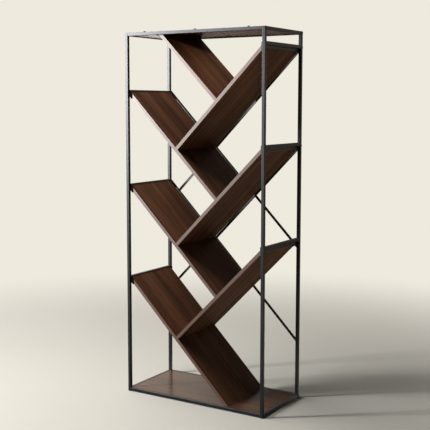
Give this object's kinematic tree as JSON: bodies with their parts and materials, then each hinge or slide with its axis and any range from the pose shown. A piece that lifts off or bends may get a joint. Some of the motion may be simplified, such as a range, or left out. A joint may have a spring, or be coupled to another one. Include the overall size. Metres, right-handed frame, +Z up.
{
  "type": "zigzag bookshelf",
  "caption": "Tall open bookshelf: a slim black tube frame holding dark walnut panels that zigzag on the slant, making angled bays for books and ornaments.",
  "frame": {"origin": "on the floor, under the middle of the whole object's box", "axes": "+Z up, +X to the right seen from the front, +Y from the front to the back, where the braces are"},
  "size_m": [0.757, 0.3668, 1.733],
  "materials": {
    "black_frame": "satin powder coat",
    "black_hardware": "black oxide",
    "walnut": "satin dark walnut laminate, grain along each panel",
    "zinc": "bright zinc plate",
    "beech": "plain beech dowel",
    "glide_plastic": "black moulded"
  },
  "bodies": {
    "root": {"back_brace_falling_lower": "black_frame", "back_brace_falling_upper": "black_frame", "back_brace_rising_lower": "black_frame", "back_brace_rising_upper": "black_frame", "base_brackets": "black_frame", "bottom_panel": "walnut", "bottom_panel_screws": "zinc", "bottom_panel_tabs": "black_frame", "bottom_rail_back": "black_frame", "bottom_rail_front": "black_frame", "bottom_rail_left": "black_frame", "bottom_rail_right": "black_frame", "brace_bolts": "black_hardware", "brace_nuts": "zinc", "brace_spacers": "black_hardware", "bracket_screws": "zinc", "cam_bolts": "zinc", "cam_discs": "zinc", "foot_glides": "glide_plastic", "frame_bolts": "black_hardware", "joint_dowels": "beech", "post_back_left": "black_frame", "post_back_right": "black_frame", "post_front_left": "black_frame", "post_front_right": "black_frame", "post_top_plates": "black_frame", "rail_end_plugs": "zinc", "rail_flanges": "black_frame", "rivet_nuts": "zinc", "shelf_brackets_left_lower": "black_frame", "shelf_brackets_left_middle": "black_frame", "shelf_brackets_left_upper": "black_frame", "shelf_brackets_right_lower": "black_frame", "shelf_brackets_right_middle": "black_frame", "shelf_brackets_right_upper": "black_frame", "side_rail_left_lower": "black_frame", "side_rail_left_middle": "black_frame", "side_rail_left_upper": "black_frame", "side_rail_right_lower": "black_frame", "side_rail_right_middle": "black_frame", "side_rail_right_upper": "black_frame", "top_brackets": "black_frame", "top_panel": "walnut", "top_panel_screws": "black_hardware", "top_panel_tabs": "black_frame", "top_rail_back": "black_frame", "top_rail_front": "black_frame", "top_rail_left": "black_frame", "top_rail_right": "black_frame", "zigzag_panel_1": "walnut", "zigzag_panel_2": "walnut", "zigzag_panel_3": "walnut", "zigzag_panel_4": "walnut", "zigzag_panel_5": "walnut", "zigzag_panel_6": "walnut", "zigzag_panel_7": "walnut"}
  },
  "joints": []
}
